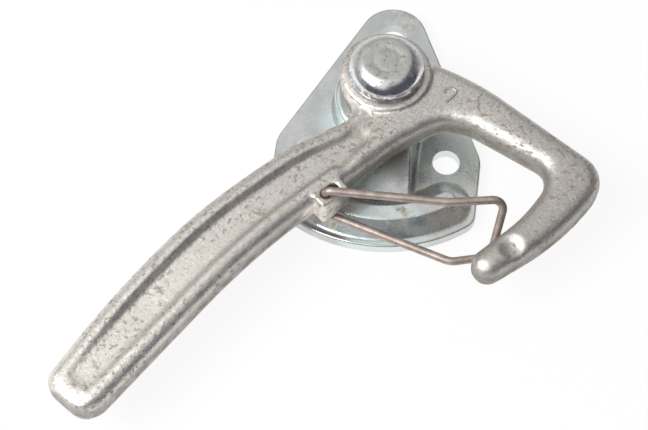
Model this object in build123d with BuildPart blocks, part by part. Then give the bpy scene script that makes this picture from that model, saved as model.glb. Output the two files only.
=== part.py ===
from build123d import *
from math import cos, hypot, radians, sin
import os

os.makedirs("parts", exist_ok=True)

# Hook latch for a trailer side board. Millimetres. Z is the pivot's axis, and z = 0 is the
# back of the base plate. The top bolt hole is towards +Y.

# Base plate: pressed sheet steel with three bolt ears
plate_t = 4.0
hole_d = 9.0
hole_spacing = 45.0
top_hole_y = 29.5
low_hole_y = -17.5
ear_r = 11.4
skirt_r = 51.0
skirt_corner_r = 6.0
rim_edge_r = 0.8

# Embossing of the base plate, measured on the front
boss_r = 16.5
boss_top = 13.5
neck_foot_w = 26.0
neck_side_run = 4.0
neck_lap = 4.9
neck_end_top = 5.6
ridge_inset = 10.1
ridge_r = skirt_r - ridge_inset
ridge_foot_w = 16.0
ridge_crest_w = 5.0
ridge_top = 9.0
ridge_end_angle = 54.3
crest_r = 1.5
foot_r = 1.8

# Lever: one forging, the same on both faces
hub_r = 14.75
hub_t = 14.2
hub_edge_r = 1.0
hub_blend_r = 6.0
arm_t = 12.0
arm_edge_r = 4.4
root_angle = 226.0
handle_angle = 239.0
handle_band = 90.0
rib_w = 5.0
groove_depth = 2.4
groove_slope = 38.0
groove_start = 17.0
groove_end = 141.0
groove_corner_r = 2.5

# Lug on the lever's edge that holds the catch's two ends
lug_l = 11.5
lug_ahead = 7.5
lug_out = 3.7
lug_in = 6.0
lug_t = 11.4
lug_edge_r = 1.4
lug_draft = 4.0
lug_turn = radians(46.7)
slot_w = 3.2
slot_l = 6.4
slot_depth = 5.0
wire_hole_depth = 4.5

# Pivot rivet
shank_d = 12.0
shank_play = 0.05
head_r = 12.4
head_flat_r = 7.6
head_t = 6.6
head_rim_t = 0.8
head_dome_r = 8.0
dimple_r = 5.1
dimple_w = 1.6
dimple_depth = 0.3
tail_r = 9.0
tail_t = 4.0
side_play = 0.25

# Safety catch: one bent length of spring wire, whose two ends turn in the lug
wire_d = 2.6
wire_play = 0.05
wire_end_r = 2.0
wire_end_l = 4.5
wire_air = 0.3
catch_x = -13.6
catch_y = -45.9

# Levels that follow from the sizes above
hub_low = boss_top + side_play
hub_high = hub_low + hub_t
mid_z = (hub_low + hub_high) / 2
arm_low = mid_z - arm_t / 2
arm_high = mid_z + arm_t / 2
lug_low = mid_z - lug_t / 2
lug_high = mid_z + lug_t / 2
head_low = hub_high + side_play
wire_high = arm_high + wire_air + wire_d / 2
wire_low = arm_low - wire_air - wire_d / 2
ridge_mid_x = ridge_r * cos(radians(ridge_end_angle))
ridge_mid_y = -ridge_r * sin(radians(ridge_end_angle))
bolt_holes = [(0, top_hole_y), (hole_spacing / 2, low_hole_y), (-hole_spacing / 2, low_hole_y)]


def set_in(run, rise, wall):
    """How far a sloped wall's foot moves in when the whole wall is lowered by its thickness."""
    return wall * (hypot(run, rise) - run) / rise


def upright(angle, x=0.0, y=0.0):
    """The vertical plane through (x, y) that faces sideways from the direction given in degrees."""
    a = radians(angle)
    return Plane(origin=(x, y, 0), x_dir=(cos(a), sin(a), 0), z_dir=(sin(a), -cos(a), 0))


def section(plane, foot_from, foot_to, crest_from, crest_to, low, top):
    """A slope-sided section on an upright plane, from level low to level top."""
    with BuildSketch(plane) as face:
        with BuildLine():
            Polyline((foot_from, low), (foot_to, low), (crest_to, top), (crest_from, top), close=True)
        make_face()
    return face.sketch


def embossing(drop):
    """Boss, neck and curved ridge: the front at drop 0, the hollow behind at drop plate_t."""
    low = plate_t - drop
    rise = boss_top - plate_t
    with BuildSketch(Plane.XY.offset(low)) as boss:
        Circle(boss_r - drop)
    extrude(boss.sketch, amount=rise)

    neck_in = set_in(neck_side_run, rise, drop)
    ends = []
    for y, top in ((0, boss_top), (neck_lap - ridge_r, neck_end_top)):
        foot = neck_foot_w / 2 - neck_in
        crest = foot - neck_side_run * (top - plate_t) / rise
        ends.append(section(upright(0, 0, y), -foot, foot, -crest, crest, low, top - drop))
    loft(ends)

    ridge_run = (ridge_foot_w - ridge_crest_w) / 2
    ridge_in = set_in(ridge_run, ridge_top - plate_t, drop)
    foot = ridge_foot_w / 2 - ridge_in
    crest = ridge_crest_w / 2 - ridge_in
    top = ridge_top - drop
    revolve(section(upright(ridge_end_angle - 180), ridge_r - foot, ridge_r + foot,
                    ridge_r - crest, ridge_r + crest, low, top),
            axis=Axis.Z, revolution_arc=180 - 2 * ridge_end_angle)
    for x in (ridge_mid_x, -ridge_mid_x):
        revolve(section(upright(0, x, ridge_mid_y), 0, foot, 0, crest, low, top),
                axis=Axis((x, ridge_mid_y, 0), (0, 0, 1)))


with BuildPart() as hollow:
    embossing(plate_t)

with BuildPart() as base_plate:
    with BuildSketch():
        Circle(skirt_r + ear_r)
    extrude(amount=plate_t)
    embossing(0)
    fillet(base_plate.edges().filter_by(lambda e: e.center().Z > plate_t + crest_r / 10), crest_r)
    foot_edges = base_plate.edges().filter_by_position(Axis.Z, plate_t, plate_t).sort_by(SortBy.LENGTH)[:-1]
    fillet(foot_edges, foot_r)
    with BuildSketch() as plate_outline:
        Circle(skirt_r)
        with Locations((0, low_hole_y - skirt_r)):
            Rectangle(hole_spacing + 2 * ear_r, 2 * skirt_r, mode=Mode.INTERSECT)
        fillet(plate_outline.vertices().group_by(Axis.Y)[0], skirt_corner_r)
        with Locations(*bolt_holes):
            Circle(ear_r)
        make_hull(mode=Mode.REPLACE)
    extrude(amount=boss_top, mode=Mode.INTERSECT)
    front = base_plate.faces().filter_by_position(Axis.Z, plate_t, plate_t).sort_by(SortBy.AREA)[-1]
    fillet(front.outer_wire().edges(), rim_edge_r)
    add(hollow.part, mode=Mode.SUBTRACT)
    with BuildSketch(Plane.XY):
        with Locations(*bolt_holes):
            Circle(hole_d / 2)
        Circle(shank_d / 2)
    extrude(amount=boss_top, mode=Mode.SUBTRACT)

with BuildPart() as pivot_rivet:
    with BuildSketch(Plane.XZ):
        with BuildLine():
            head_high = head_low + head_t
            rim_high = head_low + head_rim_t
            tail_high = boss_top - plate_t
            tail_low = tail_high - tail_t
            Line((0, head_high), (dimple_r - dimple_w, head_high))
            ThreePointArc((dimple_r - dimple_w, head_high), (dimple_r - dimple_w / 2, head_high - dimple_depth),
                          (dimple_r, head_high))
            Line((dimple_r, head_high), (head_flat_r, head_high))
            RadiusArc((head_flat_r, head_high), (head_r, rim_high), head_dome_r)
            Polyline((head_r, rim_high), (head_r, head_low), (shank_d / 2, head_low), (shank_d / 2, tail_high),
                     (tail_r, tail_high), (tail_r, tail_low), (0, tail_low), (0, head_high))
        make_face()
    revolve(axis=Axis.Z)

# The lever's outline in plan, as corners (x, y, radius of the bend there). It starts in the
# hub, runs along the hook's back to its nose, returns inside the hook, and goes down the
# handle's near side and back up its far side.
outline = [
    (10.8, 8.2, 0),
    (28.5, 3.0, 78),
    (72.9, -25.7, 10),
    (69.1, -35.3, 15.6),
    (60.6, -49.6, 88),
    (37.5, -68.7, 4.6),
    (31.9, -61.2, 4.6),
    (47.6, -44.6, 54),
    (53.7, -33.4, 11.5),
    (53.3, -27.0, 4.8),
    (28.6, -15.1, 9),
    (19.7, -14.3, 10),
    (6.5, -24.2, 60),
    (-33.0, -66.2, 240),
    (-72.5, -127.9, 7.5),
    (-88.0, -117.7, 5.4),
    (-73.4, -87.7, 310),
    (-52.4, -55.3, 175),
    (-28.0, -29.9, 80),
    (-2.0, -11.4, 0),
]
with BuildSketch() as profile:
    with BuildLine():
        run = FilletPolyline(*[(x, y) for x, y, r in outline], radius=[r for x, y, r in outline[1:-1]])
        Line(run @ 1, run @ 0)
    make_face()

with BuildSketch() as groove:
    add(profile.sketch)
    with Locations(Location((0, 0), root_angle)):
        with Locations((groove_start - rib_w, 0)):
            Rectangle(groove_end, handle_band, align=(Align.MIN, Align.CENTER), mode=Mode.INTERSECT)
    with Locations(Location((0, 0), handle_angle)):
        Rectangle(groove_end + rib_w, handle_band, align=(Align.MIN, Align.CENTER), mode=Mode.INTERSECT)
    offset(amount=-rib_w - groove_corner_r, mode=Mode.REPLACE)
    offset(amount=groove_corner_r, mode=Mode.REPLACE)

with BuildPart() as groove_cut:
    with BuildSketch(Plane.XY.offset(arm_high)):
        add(groove.sketch)
    extrude(amount=-groove_depth, taper=groove_slope)
    mirror(about=Plane.XY.offset(mid_z))

with BuildPart() as lug:
    with BuildSketch(Plane(origin=(catch_x, catch_y, mid_z), x_dir=(cos(lug_turn), sin(lug_turn), 0))):
        with Locations((lug_ahead - lug_l / 2, (lug_in - lug_out) / 2)):
            RectangleRounded(lug_l, lug_in + lug_out, lug_edge_r)
    extrude(amount=lug_t / 2, both=True, taper=lug_draft)

with BuildPart() as lever:
    with BuildSketch(Plane.XY.offset(arm_low)) as plan:
        add(profile.sketch)
        Circle(hub_r)
        joins = plan.vertices().filter_by(lambda v: abs(hypot(v.X, v.Y) - hub_r) < 0.01)
        fillet(joins, hub_blend_r)
    extrude(amount=arm_t)
    fillet(lever.edges().group_by(Axis.Z)[0] + lever.edges().group_by(Axis.Z)[-1], arm_edge_r)
    add(groove_cut.part, mode=Mode.SUBTRACT)
    with BuildSketch(Plane.XY.offset(hub_low)):
        Circle(hub_r)
    extrude(amount=hub_t)
    fillet(lever.edges().group_by(Axis.Z)[0] + lever.edges().group_by(Axis.Z)[-1], hub_edge_r)
    add(lug.part)
    with BuildSketch(Plane(origin=(catch_x, catch_y, lug_high), x_dir=(cos(lug_turn), sin(lug_turn), 0))):
        with Locations(((slot_l - slot_w) / 2, 0)):
            SlotOverall(slot_l, slot_w)
    extrude(amount=-slot_depth, mode=Mode.SUBTRACT)
    with BuildSketch(Plane.XY.offset(lug_low)):
        with Locations((catch_x, catch_y)):
            Circle(wire_d / 2 + wire_play)
    extrude(amount=wire_hole_depth, mode=Mode.SUBTRACT)
    with BuildSketch(Plane.XY.offset(hub_low)):
        Circle(shank_d / 2 + shank_play)
    extrude(amount=hub_t, mode=Mode.SUBTRACT)

# The catch's wire, as corners (x, y, z, radius of the bend there), from one end to the other
catch_route = [
    (catch_x, catch_y, wire_high - wire_end_l, 0),
    (catch_x, catch_y, wire_high, wire_end_r),
    (24.5, -45.0, wire_high, 12),
    (41.6, -41.7, wire_high, 3.2),
    (39.2, -54.3, wire_low, 3.2),
    (27.1, -57.7, wire_low, 6),
    (catch_x, catch_y, wire_low, wire_end_r),
    (catch_x, catch_y, wire_low + wire_end_l, 0),
]
with BuildPart() as spring_catch:
    with BuildLine() as route:
        FilletPolyline(*[corner[:3] for corner in catch_route], radius=[corner[3] for corner in catch_route[1:-1]])
    with BuildSketch(Plane(origin=route.line @ 0, z_dir=route.line % 0)):
        Circle(wire_d / 2)
    sweep()

for name, piece in (("base_plate", base_plate), ("pivot_rivet", pivot_rivet), ("lever", lever),
                    ("spring_catch", spring_catch)):
    piece.part.label = name
    export_step(piece.part, f"parts/{name}.step")
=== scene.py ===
import bpy
from math import copysign, cos, hypot, radians, sin
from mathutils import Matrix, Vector


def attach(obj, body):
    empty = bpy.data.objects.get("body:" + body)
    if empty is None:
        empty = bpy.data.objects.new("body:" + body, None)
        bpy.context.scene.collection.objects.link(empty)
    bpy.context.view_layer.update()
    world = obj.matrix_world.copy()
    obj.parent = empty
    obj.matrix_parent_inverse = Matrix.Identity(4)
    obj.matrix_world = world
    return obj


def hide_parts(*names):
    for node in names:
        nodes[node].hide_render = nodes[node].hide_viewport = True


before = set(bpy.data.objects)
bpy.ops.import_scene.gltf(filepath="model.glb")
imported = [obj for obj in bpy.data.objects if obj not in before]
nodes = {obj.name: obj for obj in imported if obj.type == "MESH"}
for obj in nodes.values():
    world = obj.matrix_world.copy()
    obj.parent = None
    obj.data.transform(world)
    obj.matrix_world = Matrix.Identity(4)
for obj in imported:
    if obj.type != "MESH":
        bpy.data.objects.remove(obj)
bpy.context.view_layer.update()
mm = 0.001


# The camera stands above the latch's lower end and looks down on it, a little from the right,
# where the solids cover the outline in the photograph.
camera_place = Vector((16.23, -276.26, 462.08)) * mm
camera_target = Vector((-14.9, -39.8, 0)) * mm
camera_sensor = 36
camera_focus = 1600 / 648  # focal length over the picture's width
camera_near = 0.01
camera_far = 20


def stand(name, data, place):
    """Stands a camera or a lamp at a place in metres, facing the latch."""
    made = bpy.data.objects.new(name, data)
    bpy.context.scene.collection.objects.link(made)
    made.location = place
    made.rotation_euler = (camera_target - place).to_track_quat("-Z", "Y").to_euler()
    return made


camera_data = bpy.data.cameras.new("camera")
camera_data.sensor_width = camera_sensor
camera_data.lens = camera_sensor * camera_focus
camera_data.clip_start = camera_near
camera_data.clip_end = camera_far
bpy.context.scene.camera = stand("camera", camera_data, camera_place)


# The base is one pressing of 4 mm sheet: a round boss for the pivot, a neck and a curved ridge
# that stiffens the skirt. It is bright zinc plated and a little bluish, with fine pale flecks and
# tan water stains that gather in its corners. Teal spots on it are painted sheen, and a grey patch
# beside the neck is painted shade.
plate_pale = (0.66, 0.68, 0.675, 1)
plate_dark = (0.54, 0.56, 0.56, 1)
plate_stain = (0.42, 0.32, 0.17, 1)
# Painted shade: a grey patch beside the neck.
plate_painted_shade = (0.25, 0.26, 0.26, 1)
plate_fleck = (0.82, 0.75, 0.58, 1)
# Painted sheen: a teal light laid into the zinc's colour.
plate_painted_sheen = (0.78, 0.87, 0.86, 1)
plate_metallic = 0.92
plate_grain_depth = 0.03
# The places of painted sheen are on the boss wall, beside the arm, on the neck and on the skirt.
# Each place is x, y, z and a radius in millimetres, and the share of the radius that is full.
painted_sheen_places = ((-14, -7, 9, 11), (23, -14, 4, 13, 0.6), (-2.5, -28, 9, 7, 0.4), (6, -50, 5, 17, 0.7))
# Where the painted shade lies beside the neck.
painted_shade_place = (11, -24, 8, 9.5, 0.3)
stain_places = ((9, -38, 5, 9), (-8, -42, 5, 8), (26, -36, 4, 7), (15, -30, 4, 6),
                (-30, -35, 4, 8), (2, 36, 4, 6))


class Nodes:
    """The nodes of a material or of the room, each fed as it is added."""

    def __init__(self, owner):
        owner.use_nodes = True
        self.tree = owner.node_tree
        self.tree.nodes.clear()

    def feed(self, socket, value):
        """Sets a socket to a number, a colour or another node's output."""
        if isinstance(value, bpy.types.NodeSocket):
            self.tree.links.new(value, socket)
        else:
            socket.default_value = value

    def add(self, kind, sockets=None, **settings):
        made = self.tree.nodes.new(kind)
        for name, value in settings.items():
            setattr(made, name, value)
        for name, value in (sockets or {}).items():
            self.feed(made.inputs[name], value)
        return made

    def ramp(self, source, low, high, start=0.0, end=1.0):
        """Carries source from start to end as it goes from low to high, and no further."""
        limits = {"Value": source, "From Min": low, "From Max": high, "To Min": start, "To Max": end}
        return self.add("ShaderNodeMapRange", limits, interpolation_type="SMOOTHSTEP").outputs["Result"]

    def math(self, operation, a, b=0.0):
        return self.add("ShaderNodeMath", {0: a, 1: b}, operation=operation).outputs[0]

    def times(self, a, b):
        return self.math("MULTIPLY", a, b)

    def plus(self, a, b):
        return self.math("ADD", a, b)

    def most(self, value, *others):
        """The largest of the values."""
        for other in others:
            value = self.math("MAXIMUM", value, other)
        return value

    def cover(self, under, *layers):
        """A colour with layers over it, each the share that it covers and its colour."""
        for share, colour in layers:
            mixed = self.add("ShaderNodeMix", {0: share, 6: under, 7: colour}, data_type="RGBA")
            under = mixed.outputs[2]
        return under

    def axis(self, source, name):
        """One of a place's or a direction's three numbers."""
        return self.add("ShaderNodeSeparateXYZ", {0: source}).outputs[name]

    def along(self, source, way):
        """How far a place or a direction goes along a way."""
        return self.add("ShaderNodeVectorMath", {0: source, 1: way}, operation="DOT_PRODUCT").outputs["Value"]


class Finish(Nodes):
    """A metal finish, whose patterns keep their place on the piece."""

    def __init__(self, name):
        self.material = bpy.data.materials.new(name)
        super().__init__(self.material)
        self.shader = self.add("ShaderNodeBsdfPrincipled")
        self.add("ShaderNodeOutputMaterial", {"Surface": self.shader.outputs[0]})
        self.place = self.add("ShaderNodeTexCoord").outputs["Object"]

    def grain(self, per_metre, detail, roughness):
        """Soft noise, with that many features to the metre."""
        noise = {"Vector": self.place, "Scale": per_metre, "Detail": detail, "Roughness": roughness}
        return self.add("ShaderNodeTexNoise", noise).outputs[0]

    def spot(self, x, y, z, radius, full=0.5):
        """1 near a point in millimetres, fading to 0 at the radius."""
        away = self.add("ShaderNodeVectorMath", {0: self.place, 1: (x * mm, y * mm, z * mm)},
                        operation="DISTANCE")
        return self.ramp(away.outputs["Value"], radius * full * mm, radius * mm, 1.0, 0.0)

    def spots(self, places):
        """1 near any of the places."""
        return self.most(*(self.spot(*place) for place in places))

    def bump(self, height, depth, strength, under=None):
        """A normal that height moves by up to depth in millimetres, on top of the one under it."""
        relief = {"Strength": strength, "Distance": depth * mm, "Height": height}
        if under:
            relief["Normal"] = under
        return self.add("ShaderNodeBump", relief).outputs[0]

    def polish(self, colour, metallic, roughness, normal):
        """Feeds the shader's own sockets."""
        for name, value in (("Base Color", colour), ("Metallic", metallic),
                            ("Roughness", roughness), ("Normal", normal)):
            self.feed(self.shader.inputs[name], value)


def dress(piece, finish):
    """Gives the piece that finish all over."""
    piece.data.materials.clear()
    piece.data.materials.append(finish.material)


plate = Finish("plate_zinc")
blotch = plate.grain(70, 5, 0.7)
cloud = plate.grain(220, 4, 0.7)
fleck = plate.grain(620, 3, 0.7)
speck = plate.grain(1500, 2, 0.7)
flecked = plate.times(plate.ramp(fleck, 0.57, 0.64), plate.ramp(blotch, 0.38, 0.50))
painted_shade_patch = plate.times(plate.spot(*painted_shade_place), plate.ramp(cloud, 0.25, 0.55))
stained = plate.times(plate.spots(stain_places), plate.ramp(cloud, 0.48, 0.66))
plate.polish(
    plate.cover(plate_dark,
                (plate.ramp(blotch, 0.35, 0.65), plate_pale),
                (plate.ramp(speck, 0.62, 0.72, 0.0, 0.5), plate_pale),
                (plate.times(flecked, 0.6), plate_fleck),
                # Painted sheen, in teal.
                (plate.times(plate.spots(painted_sheen_places), 0.75), plate_painted_sheen),
                # Painted shade beside the neck, broken by clouds.
                (plate.times(painted_shade_patch, 0.8), plate_painted_shade),
                (plate.times(stained, 0.8), plate_stain)),
    plate_metallic,
    plate.plus(plate.ramp(cloud, 0.3, 0.7, 0.22, 0.36), plate.times(stained, 0.3)),
    plate.bump(speck, plate_grain_depth, 0.5))
dress(nodes["base_plate"], plate)


# The rivet is cold-headed steel. Its dome is burnished almost to a mirror by the set, and the
# flat on top, with the punch's shallow ring, stays matt grey. Navy blots round its lower edge are
# painted dark reflection, rust spots fleck it, and its shank is a little thinner than the bore.
rivet_bright = (0.88, 0.88, 0.87, 1)
rivet_matt = (0.50, 0.495, 0.48, 1)
rivet_worn = (0.60, 0.595, 0.575, 1)
# Painted dark reflection, in navy blots round the dome's lower edge.
rivet_painted_reflection = (0.10, 0.11, 0.17, 1)
rivet_rust = (0.20, 0.12, 0.07, 1)
rivet_metallic = 0.95
rivet_grain_depth = 0.04
rivet_voxel = 0.32
rivet_rub = 10
rivet_top = 34.8
rivet_flat = (0, 0, rivet_top, 9.1, 0.8)
rivet_upper = (0, 6.5, rivet_top, 15.5, 0.8)
# rivet_edge, ring_z and ring_r each hold where a share begins to change and where it stops.
rivet_edge = (29.6, 31.8)
ring_rub = 25
ring_z = (rivet_top - 2.5, rivet_top - 2.0)
ring_r = (5.5, 7.0)
shank_z = (9.8, 27.9)
shank_r = 6.0
shank_ease = 0.2
weld_gap = 1e-6
rub_strength = 0.5


def select_only(piece):
    bpy.ops.object.select_all(action="DESELECT")
    piece.select_set(True)
    bpy.context.view_layer.objects.active = piece


def rise(value, low, high):
    """0 below low, 1 above high."""
    return min(1, max(0, (value - low) / (high - low)))


def points(piece):
    """The piece's vertices, each with its x, y and z in millimetres."""
    for vertex in piece.data.vertices:
        yield vertex, *(vertex.co / mm)


def recast(node, name, voxel):
    """A copy of a CAD node as one close, even skin, which can be rubbed down."""
    piece = bpy.data.objects.new(name, nodes[node].data.copy())
    bpy.context.scene.collection.objects.link(piece)
    select_only(piece)
    bpy.ops.object.mode_set(mode="EDIT")
    bpy.ops.mesh.select_all(action="SELECT")
    bpy.ops.mesh.remove_doubles(threshold=weld_gap)
    bpy.ops.object.mode_set(mode="OBJECT")
    skin = piece.modifiers.new("skin", "REMESH")
    skin.mode = "VOXEL"
    skin.voxel_size = voxel * mm
    skin.use_smooth_shade = True
    bpy.ops.object.modifier_apply(modifier="skin")
    return piece


def rub(piece, passes, where=None):
    """Rubs the piece's skin down that many times, where a share of x, y, z in millimetres says."""
    select_only(piece)
    rubbing = piece.modifiers.new("rub", "SMOOTH")
    rubbing.factor = rub_strength
    rubbing.iterations = passes
    if where:
        group = piece.vertex_groups.new(name="rubbed")
        for vertex, x, y, z in points(piece):
            share = where(x, y, z)
            if share > 0:
                group.add([vertex.index], share, "REPLACE")
        rubbing.vertex_group = group.name
    bpy.ops.object.modifier_apply(modifier="rub")
    piece.vertex_groups.clear()


def punch_ring(x, y, z):
    return rise(z, *ring_z) * (1 - rise(hypot(x, y), *ring_r))


head = recast("pivot_rivet", "rivet_head", rivet_voxel)
rub(head, rivet_rub)
rub(head, ring_rub, punch_ring)
# The shank is drawn in from the bore, so that the lever turns round it without touching.
for vertex, x, y, z in points(head):
    off = hypot(x, y)
    if shank_z[0] < z < shank_z[1] and shank_ease < off < shank_r + shank_ease:
        vertex.co.x *= min(1, (shank_r - shank_ease) / off)
        vertex.co.y *= min(1, (shank_r - shank_ease) / off)
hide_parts("pivot_rivet")
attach(head, "base")

rivet = Finish("rivet_zinc")
flat = rivet.most(rivet.spot(*rivet_flat), rivet.times(rivet.spot(*rivet_upper), 0.65))
lower = rivet.ramp(rivet.axis(rivet.place, "Z"), rivet_edge[0] * mm, rivet_edge[1] * mm, 1.0, 0.0)
scuffs = rivet.ramp(rivet.grain(260, 4, 0.75), 0.5, 0.62)
painted_reflection_blots = rivet.ramp(rivet.grain(380, 4, 0.8), 0.40, 0.56)
cloudy = rivet.ramp(rivet.grain(420, 4, 0.8), 0.35, 0.65)
spotty = rivet.ramp(rivet.grain(900, 3, 0.7), 0.56, 0.66)
rivet.polish(
    rivet.cover(rivet_bright,
                (flat, rivet.cover(rivet_matt, (cloudy, rivet_worn))),
                # Painted dark reflection round the dome's lower edge.
                (rivet.times(rivet.times(lower, painted_reflection_blots), 0.75), rivet_painted_reflection),
                (rivet.times(spotty, 0.6), rivet_rust)),
    rivet_metallic,
    rivet.plus(rivet.plus(rivet.times(flat, 0.36), 0.12), rivet.times(scuffs, 0.12)),
    rivet.bump(rivet.grain(700, 4, 0.8), rivet_grain_depth, 0.5))
dress(head, rivet)


# The lever is one drop forging: grooved handle, hub, hook and the lug for the catch. The groove
# ends in a hollow beside the hub and runs out at the handle's end, and the hook's nose is dented.
# Its barrel-plated skin is warm grey and grainy, brown in pits and edges, and bright where rubbed.
# Painted shade on its upright sides and in the hollow beside the hub, and painted light on the lug's sides
# and the hub, are laid into its colour.
forging_voxel = 0.47
forging_rub = 5
forging_mid = 20.85
forging_face = 6.0  # half the arm's thickness
forging_core = 3  # either side of the middle, which no hollow reaches
# Sizes in near, clear, start and faces hold where a share begins to change and where it stops.
forging_faces = (3.2, 5.0)
hub_clear = (15.0, 16.2)
lug_place = (-12.9, -44.2)
lug_near = (7.0, 10.0)
lug_clear = (7.5, 10.5)
handle_way = Vector((cos(radians(239)), sin(radians(239)), 0))
handle_start = (18, 26)
arm_way = Vector((cos(radians(-20)), sin(radians(-20)), 0))
arm_start = (16, 26)
arm_faces = (2.0, 5.0)
scoop_place = (-8.6, -26.5)
scoop_head = (-3.6, -16.0)
scoop_left = (3.4, 2.2)  # its half widths hold at scoop_place and at scoop_head
scoop_right = (4.4, 5.2)
scoop_depth = 2.3
scoop_from = -0.8  # counted in lengths from scoop_place to scoop_head
scoop_to = 1.3
scoop_off_hub = 15.2  # from the pivot, a little outside the hub
scoop_near = (8, 14)
groove_head = (-62.0, -90.0)
groove_foot = (-75.6, -116.6)
groove_half_w = 6.4
groove_low = 2.5  # from the middle, under the groove's floor
groove_rise = 0.62
groove_past = 1.3  # counted in lengths from groove_head to groove_foot
dent_place = (44.6, -56.4)
dent_r = 5.0
dent_depth = 1.6
scale_size = 1.6
scale_detail = 2
scale_depth = 0.12
scale_level = 0.55
zinc_cool = (0.49, 0.50, 0.50, 1)
zinc_warm = (0.78, 0.71, 0.635, 1)
# Bright rubbed zinc, which also serves as painted light on the lug and the hub.
zinc_rubbed_and_painted_light = (0.96, 0.91, 0.845, 1)
zinc_dark = (0.34, 0.31, 0.28, 1)
# Painted shade for the upright sides.
zinc_painted_side_shade = (0.32, 0.32, 0.30, 1)
zinc_brown = (0.30, 0.225, 0.17, 1)
zinc_pit = (0.36, 0.31, 0.27, 1)
zinc_rust = (0.30, 0.08, 0.04, 1)
zinc_metallic = 0.9
handle_rubbed = (30, 140)
arm_dark = (30, 65)
seam_w = (0.6, 2.6)
brown_side = (-0.34, 0.94, 0.0)
# Where painted light falls on the lug's sides.
lug_painted_light_place = (-15.0, -48.0, 20.0, 8.0, 0.7)
# A painted highlight on the hub.
hub_painted_light = (-11, -8, 28, 9)
# Painted shade in the hollow beside the hub.
scoop_shade = (-3.8, -21.5, 26.0, 6.5, 0.45)
hook_pits = (37, -21, 25, 17, 0.7)
rust_places = ((-14.0, -48.6, 22.0, 1.3), (-12.2, -48.7, 22.0, 1.1), (-37.7, -69.0, 25.0, 1.0))


def apart(x, y, place):
    return hypot(x - place[0], y - place[1])


def run_from(x, y, start, end):
    """How many lengths of a run a point lies along it, and how far to its left."""
    run = Vector(end) - Vector(start)
    out = Vector((x, y)) - Vector(start)
    return out.dot(run) / run.length_squared, run.cross(out) / run.length


def off_mid(z):
    return abs(z - forging_mid)


def lift(vertex, z, height):
    """Puts a vertex at that height over the forging's middle, or as far under it."""
    vertex.co.z = (forging_mid + copysign(height, z - forging_mid)) * mm


def handle_faces(x, y, z):
    along = Vector((x, y, 0)).dot(handle_way)
    off_lug = rise(apart(x, y, lug_place), *lug_clear)
    return rise(along, *handle_start) * rise(off_mid(z), *forging_faces) * off_lug


def lug_corners(x, y, z):
    return 1 - rise(apart(x, y, lug_place), *lug_near)


def hook_shoulders(x, y, z):
    along = Vector((x, y, 0)).dot(arm_way)
    return rise(along, *arm_start) * rise(off_mid(z), *arm_faces)


def scoop_faces(x, y, z):
    near = 1 - rise(apart(x, y, scoop_place), *scoop_near)
    return near * rise(off_mid(z), *forging_faces) * rise(hypot(x, y), *hub_clear)


def scoop_sunk(x, y):
    """How deep the hollow is under the face, which is nothing outside it."""
    way, off = run_from(x, y, scoop_place, scoop_head)
    share = rise(way, 0, 1)
    left = scoop_left[0] + share * (scoop_left[1] - scoop_left[0])
    right = scoop_right[0] + share * (scoop_right[1] - scoop_right[0])
    away = max(off / left, -off / right)
    if not scoop_from < way < scoop_to or away >= 1:
        return 0
    return scoop_depth * (1 - rise(way, 0, scoop_to)) * (1 - away ** 4) ** 2


def groove_end(x, y):
    """How far the groove's floor has run out, towards the handle's end."""
    way, off = run_from(x, y, groove_head, groove_foot)
    away = abs(off) / groove_half_w
    return rise(way, 0, 1) * max(0, 1 - away ** 6) if way < groove_past else 0


forging = recast("lever", "lever_forging", forging_voxel)
rub(forging, forging_rub)
# The hollow beside the hub, the groove's run-out at the handle's end, and after the rubbing the dent.
for vertex, x, y, z in points(forging):
    if off_mid(z) > forging_core and hypot(x, y) > scoop_off_hub:
        sunk = scoop_sunk(x, y)
        if sunk and off_mid(z) > forging_face - sunk:
            lift(vertex, z, forging_face - sunk)
for vertex, x, y, z in points(forging):
    off = off_mid(z)
    if groove_low < off < forging_face:
        lift(vertex, z, off + (forging_face - off) * groove_rise * groove_end(x, y))
for area, passes in ((lug_corners, 6), (handle_faces, 40), (hook_shoulders, 90), (scoop_faces, 60)):
    rub(forging, passes, area)
for vertex, x, y, z in points(forging):
    if z > forging_mid:
        away = apart(x, y, dent_place) / dent_r
        vertex.co.z -= dent_depth * mm * max(0, 1 - away ** 2) ** 2
mill_scale = bpy.data.textures.new("forging_scale", "CLOUDS")
mill_scale.noise_scale = scale_size * mm
mill_scale.noise_depth = scale_detail
scaled = forging.modifiers.new("scale", "DISPLACE")
scaled.texture = mill_scale
scaled.texture_coords = "LOCAL"
scaled.strength = scale_depth * mm
scaled.mid_level = scale_level
select_only(forging)
bpy.ops.object.modifier_apply(modifier="scale")
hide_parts("lever")
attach(forging, "lever")

# The finish is in layers: the tones of the zinc, painted shade on the upright sides and in the
# hollow, painted light on the lug and the hub, then brown and dark grains, pits and rust.
forged = Finish("forged_zinc")
drift = forged.grain(60, 4, 0.6)
mottle = forged.grain(260, 4, 0.7)
flake = forged.grain(480, 3, 0.7)
pock = forged.grain(640, 1, 0.5)
grit = forged.grain(900, 3, 0.7)
fine = forged.grain(2000, 4, 0.85)
geometry = forged.add("ShaderNodeNewGeometry").outputs
to_end = forged.ramp(forged.along(forged.place, handle_way), handle_rubbed[0] * mm, handle_rubbed[1] * mm)
to_hook = forged.ramp(forged.along(forged.place, arm_way), arm_dark[0] * mm, arm_dark[1] * mm, 0.0, 0.28)
from_seam = forged.math("SUBTRACT", forged.axis(forged.place, "Z"), forging_mid * mm)
seam = forged.ramp(forged.math("ABSOLUTE", from_seam), seam_w[0] * mm, seam_w[1] * mm, 1.0, 0.0)
upright = forged.math("ABSOLUTE", forged.axis(geometry["Normal"], "Z"))
side = forged.ramp(upright, 0.12, 0.62, 1.0, 0.0)
outer = forged.ramp(forged.along(geometry["Normal"], brown_side), 0.35, 0.8)
edges = forged.ramp(geometry["Pointiness"], 0.505, 0.56)
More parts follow.
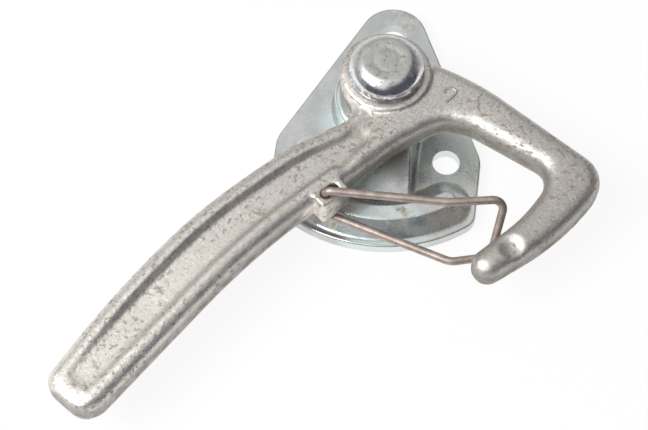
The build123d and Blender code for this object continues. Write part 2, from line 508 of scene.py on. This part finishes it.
flaked = forged.times(forged.ramp(flake, 0.56, 0.64),
                      forged.plus(forged.times(forged.ramp(drift, 0.46, 0.58), 0.6), 0.1))
brown = forged.most(flaked,
                    forged.times(edges, forged.ramp(mottle, 0.44, 0.58, 0.0, 0.5)),
                    forged.times(outer, forged.ramp(mottle, 0.42, 0.60, 0.2, 0.9)),
                    forged.times(seam, forged.ramp(mottle, 0.40, 0.60, 0.2, 0.9)))
pitted = forged.most(forged.ramp(drift, 0.46, 0.52), forged.spot(*hook_pits))
pits = forged.times(forged.ramp(pock, 0.60, 0.64), pitted)
# Painted shade in the hollow, which is also made rougher.
painted_scoop_shade = forged.spot(*scoop_shade)
# Painted light on the lug's upright sides.
painted_lug_light = forged.times(forged.spot(*lug_painted_light_place), side)
worn = forged.most(brown, pits, forged.times(painted_scoop_shade, 1.2))
gloss = forged.math("SUBTRACT", forged.ramp(mottle, 0.35, 0.65, 0.34, 0.46), forged.times(to_end, 0.12))
relief = None
for grain, depth, strength in ((mottle, 0.16, 0.5), (grit, 0.14, 0.9), (fine, 0.08, 1.0)):
    relief = forged.bump(grain, depth, strength, relief)
forged.polish(
    forged.cover(zinc_cool,
                 (forged.ramp(fine, 0.42, 0.58), zinc_warm),
                 (forged.times(to_end, 0.85), zinc_rubbed_and_painted_light),
                 (to_hook, zinc_dark),
                 # Painted shade on the upright sides.
                 (forged.times(side, 0.85), zinc_painted_side_shade),
                 # Painted light on the lug.
                 (forged.times(painted_lug_light, 0.9), zinc_rubbed_and_painted_light),
                 # Painted highlight on the hub.
                 (forged.times(forged.spot(*hub_painted_light), 0.7), zinc_rubbed_and_painted_light),
                 (forged.ramp(grit, 0.54, 0.68, 0.0, 0.5), zinc_dark),
                 (forged.times(brown, 0.65), zinc_brown),
                 (forged.times(pits, 0.75), zinc_pit),
                 # Painted shade in the hollow beside the hub.
                 (forged.times(painted_scoop_shade, 0.35), zinc_dark),
                 (forged.times(forged.spots(rust_places), forged.ramp(fine, 0.40, 0.55)), zinc_rust)),
    zinc_metallic,
    forged.plus(gloss, forged.times(worn, 0.25)),
    relief)
dress(forging, forged)


# The numeral was cut into the forging's die, so it stands up from the arm's face beside the hub.
# It is one rounded stroke, sunk in the face, with the forging's own skin.
numeral_stroke = [(19.2, -5.3), (19.1, -4.2), (20.2, -3.2), (22.0, -3.0), (23.1, -4.0), (22.5, -5.6),
                  (21.2, -7.1), (20.0, -8.6)]
numeral_half_w = 0.52
numeral_z = 26.65

numeral_line = bpy.data.curves.new("numeral_line", "CURVE")
numeral_line.dimensions = "3D"
numeral_line.bevel_depth = numeral_half_w * mm
numeral_line.bevel_resolution = 3
numeral_line.use_fill_caps = True
stroke = numeral_line.splines.new("NURBS")
stroke.points.add(len(numeral_stroke) - 1)
for point, (x, y) in zip(stroke.points, numeral_stroke):
    point.co = (x * mm, y * mm, numeral_z * mm, 1)
stroke.order_u = 3
stroke.use_endpoint_u = True
stroke.resolution_u = 6
numeral = bpy.data.objects.new("die_numeral", numeral_line)
bpy.context.scene.collection.objects.link(numeral)
select_only(numeral)
bpy.ops.object.convert(target="MESH")
bpy.ops.object.shade_smooth()
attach(numeral, "lever")
dress(numeral, forged)


# The catch is one length of 2.6 mm spring wire, bent cold, whose ends turn in the lug. It is
# satin steel with a brown, slightly pink tint and a fine, even grain.
wire_pale = (0.52, 0.44, 0.40, 1)
wire_dark = (0.37, 0.305, 0.27, 1)
wire_metallic = 0.95
wire_grain_depth = 0.015

wire = Finish("spring_wire")
wire.polish(wire.cover(wire_dark, (wire.ramp(wire.grain(300, 4, 0.7), 0.35, 0.65), wire_pale)),
            wire_metallic,
            wire.ramp(wire.grain(700, 3, 0.7), 0.3, 0.7, 0.46, 0.56),
            wire.bump(wire.grain(1600, 2, 0.7), wire_grain_depth, 0.5))
dress(nodes["spring_catch"], wire)


# The floor is a plain pale sheet, which keeps a faint shadow of the latch. To the camera and in
# reflections it is mostly a white glow, so that it reads there as white paper.
floor_side = 6.0
floor_z = -0.0003
paper_pale = (0.9, 0.9, 0.9, 1)
paper_white = (1, 1, 1, 1)
paper_glow = 1.0
paper_share = 0.9

bpy.ops.object.select_all(action="DESELECT")
bpy.ops.mesh.primitive_plane_add(size=floor_side, location=(0, 0, floor_z))
floor = bpy.context.active_object
floor.name = "floor"
paper_material = bpy.data.materials.new("paper")
paper = Nodes(paper_material)
ray = paper.add("ShaderNodeLightPath").outputs
seen = paper.most(ray["Is Camera Ray"], ray["Is Glossy Ray"], ray["Is Transmission Ray"])
shaded = paper.add("ShaderNodeBsdfDiffuse", {"Color": paper_pale})
glowing = paper.add("ShaderNodeEmission", {"Color": paper_white, "Strength": paper_glow})
sheet = paper.add("ShaderNodeMixShader", {0: paper.times(seen, paper_share), 1: shaded.outputs[0],
                                          2: glowing.outputs[0]})
paper.add("ShaderNodeOutputMaterial", {"Surface": sheet.outputs[0]})
floor.data.materials.append(paper_material)


# One softbox stands above the latch's left front. The room round it has a pale ceiling and grey
# walls, with a dark wall to the right and a low dark one in front, which the metal reflects.
lamp_place = Vector((-0.54, -0.38, 0.76))
lamp_size = (0.60, 0.46)
lamp_power = 8.6
room_low = (0.30, 0.32, 0.325, 1)
room_high = (0.80, 0.80, 0.80, 1)
room_dark = (0.045, 0.05, 0.075, 1)
room_rise = (0.10, 0.85)
# Each dark wall is its direction, where it begins and is full, and its upper end and foot.
room_walls = (((0.97, -0.22, 0.0), (0.10, 0.45), (0.94, 0.62)),
              ((0.25, -0.97, 0.0), (-0.10, 0.40), (0.62, 0.36)))

lamp_data = bpy.data.lights.new("softbox", "AREA")
lamp_data.shape = "RECTANGLE"
lamp_data.size, lamp_data.size_y = lamp_size
lamp_data.energy = lamp_power
stand("softbox", lamp_data, lamp_place)

world = bpy.data.worlds.new("studio")
bpy.context.scene.world = world
room = Nodes(world)
way = room.add("ShaderNodeTexCoord").outputs["Generated"]
height = room.axis(way, "Z")
room_tone = room.cover(room_low, (room.ramp(height, *room_rise), room_high))
for wall_way, wall_side, wall_top in room_walls:
    wall = room.times(room.ramp(room.along(way, wall_way), *wall_side), room.ramp(height, *wall_top))
    room_tone = room.cover(room_tone, (wall, room_dark))
sky = room.add("ShaderNodeBackground", {"Color": room_tone})
room.add("ShaderNodeOutputWorld", {"Surface": sky.outputs[0]})

bpy.context.scene.view_settings.view_transform = "Standard"
